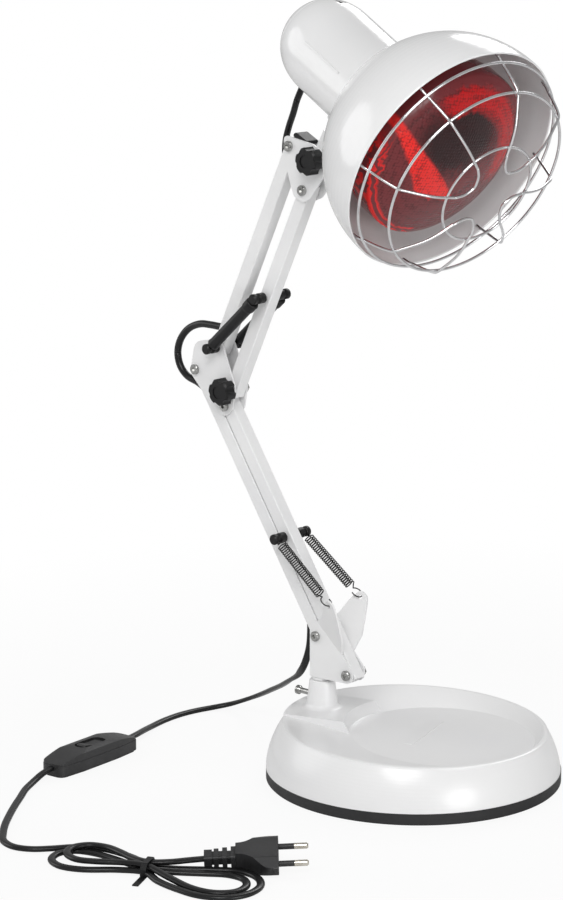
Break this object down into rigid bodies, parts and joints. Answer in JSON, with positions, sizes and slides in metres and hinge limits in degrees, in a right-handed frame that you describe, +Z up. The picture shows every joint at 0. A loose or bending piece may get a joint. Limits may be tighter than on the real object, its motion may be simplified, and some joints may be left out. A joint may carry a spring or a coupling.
{
  "type": "infrared heat therapy lamp",
  "caption": "Table-standing infrared heat lamp: red reflector bulb behind a wire guard in a white shade, on a spring-balanced swing arm with a weighted round base and a switched cord.",
  "frame": {"origin": "middle of the round foot, on the table", "axes": "+Z up; +X the way the arm carries the head, in the arm's plane; +Y to the left of it"},
  "size_m": [0.3287, 0.3941, 0.5325],
  "materials": {
    "white_paint": "gloss",
    "white_plastic": "gloss",
    "black_rubber": "matte",
    "black_plastic": "satin",
    "black_pvc": "satin",
    "zinc": "satin",
    "chrome": "polished",
    "nickel": "polished",
    "spring_steel": "satin",
    "iron": "rough",
    "ivory_plastic": "satin",
    "red_glass": "polished"
  },
  "bodies": {
    "base": {"base_cover": "white_plastic", "base_weight": "iron", "base_plate": "black_plastic", "foot_ring": "black_rubber", "base_screws": "zinc", "cord_drop": "black_pvc", "cord_floor": "black_pvc", "cord_hank": "black_pvc", "cord_tie": "black_plastic", "switch_base": "black_plastic", "switch_top": "black_plastic", "plug_body": "black_plastic", "plug_pins": "nickel"},
    "thumb": {"thumb_screw": "zinc"},
    "bracket": {"bracket_post": "white_paint", "bracket_plate_near": "white_paint", "bracket_plate_far": "white_paint", "bracket_bolts": "zinc", "spring_near": "spring_steel", "spring_far": "spring_steel"},
    "lower_rear_arm": {"lower_rear_tube": "white_paint", "cord_in_lower_arm": "black_pvc"},
    "lower_front_arm": {"lower_front_tube": "white_paint", "spring_pin": "zinc", "spring_spools": "black_plastic"},
    "elbow": {"elbow_plate_near": "white_paint", "elbow_plate_far": "white_paint", "elbow_bolts": "zinc", "elbow_pin": "zinc", "elbow_spools": "black_plastic", "elbow_knob_bolt": "zinc", "spring_sleeve_near": "black_plastic", "spring_sleeve_far": "black_plastic", "cord_elbow": "black_pvc"},
    "elbow_grip": {"elbow_knob": "black_plastic"},
    "upper_rear_arm": {"upper_rear_tube": "white_paint", "cord_in_upper_arm": "black_pvc"},
    "upper_front_arm": {"upper_front_tube": "white_paint", "sleeve_pin": "zinc", "sleeve_spools": "black_plastic"},
    "head_bracket": {"head_plate_near": "white_paint", "head_plate_far": "white_paint", "head_bolts": "zinc", "head_block": "black_plastic", "head_knob_bolt": "zinc", "cord_head": "black_pvc"},
    "head_grip": {"head_knob": "black_plastic"},
    "tongue": {"head_stem": "white_paint", "stem_nut": "zinc"},
    "head": {"shade": "white_paint", "socket_housing": "white_paint", "housing_cap": "white_paint", "lamp_holder": "ivory_plastic", "bulb_glass": "red_glass", "bulb_cap": "nickel", "guard_rings": "chrome", "guard_petals": "chrome"},
    "rocker": {"switch_rocker": "black_plastic"}
  },
  "joints": [
    {"name": "base_swivel", "type": "hinge", "parent": "base", "child": "bracket", "pos_m": [-0.06599, -0.02017, 0.05], "axis": [0, 0, 1], "range_deg": [-120, 120], "deforming": ["cord_drop"]},
    {"name": "thumb_turn", "type": "hinge", "parent": "base", "child": "thumb", "pos_m": [-0.08099, -0.02017, 0.04971], "axis": [-1, 0, 0], "range_deg": [-45, 0]},
    {"name": "lower_arm", "type": "hinge", "parent": "bracket", "child": "lower_rear_arm", "pos_m": [-0.06599, -0.02017, 0.09421], "axis": [0, 1, 0], "range_deg": [-1, 60]},
    {"name": "lower_front", "type": "hinge", "parent": "bracket", "child": "lower_front_arm", "pos_m": [-0.03798, -0.02017, 0.07121], "axis": [0, 1, 0], "range_deg": [-1, 60], "deforming": ["spring_near", "spring_far"]},
    {"name": "elbow_level", "type": "hinge", "parent": "lower_rear_arm", "child": "elbow", "pos_m": [-0.17927, -0.02017, 0.26865], "axis": [0, 1, 0], "range_deg": [-60, 1]},
    {"name": "elbow_grip_turn", "type": "hinge", "parent": "elbow", "child": "elbow_grip", "pos_m": [-0.14677, -0.02017, 0.25765], "axis": [0, -1, 0], "range_deg": [-45, 0]},
    {"name": "upper_arm", "type": "hinge", "parent": "elbow", "child": "upper_rear_arm", "pos_m": [-0.15907, -0.02017, 0.28665], "axis": [0, 1, 0], "range_deg": [-15, 40], "deforming": ["cord_elbow"]},
    {"name": "upper_front", "type": "hinge", "parent": "elbow", "child": "upper_front_arm", "pos_m": [-0.14677, -0.02017, 0.25765], "axis": [0, 1, 0], "range_deg": [-15, 40], "deforming": ["spring_sleeve_near", "spring_sleeve_far"]},
    {"name": "head_level", "type": "hinge", "parent": "upper_rear_arm", "child": "head_bracket", "pos_m": [-0.09103, -0.02017, 0.43257], "axis": [0, 1, 0], "range_deg": [-40, 15]},
    {"name": "head_grip_turn", "type": "hinge", "parent": "head_bracket", "child": "head_grip", "pos_m": [-0.06603, -0.02017, 0.42487], "axis": [0, -1, 0], "range_deg": [-45, 0]},
    {"name": "head_tilt", "type": "hinge", "parent": "head_bracket", "child": "tongue", "pos_m": [-0.06603, -0.02017, 0.42487], "axis": [0, 1, 0], "range_deg": [-30, 30], "deforming": ["cord_head"]},
    {"name": "head_swivel", "type": "hinge", "parent": "tongue", "child": "head", "pos_m": [-0.03422, -0.02017, 0.48224], "axis": [-0.4848, 0, -0.8746], "range_deg": [-30, 30]},
    {"name": "switch_rock", "type": "hinge", "parent": "base", "child": "rocker", "pos_m": [-0.19, -0.126, 0.0125], "axis": [0.9976, 0.0698, 0], "range_deg": [-6, 0]}
  ],
  "couplings": [
    {"joint": "lower_front", "follows": "lower_arm", "ratio": 1},
    {"joint": "elbow_level", "follows": "lower_arm", "ratio": -1},
    {"joint": "upper_front", "follows": "upper_arm", "ratio": 1},
    {"joint": "head_level", "follows": "upper_arm", "ratio": -1}
  ]
}
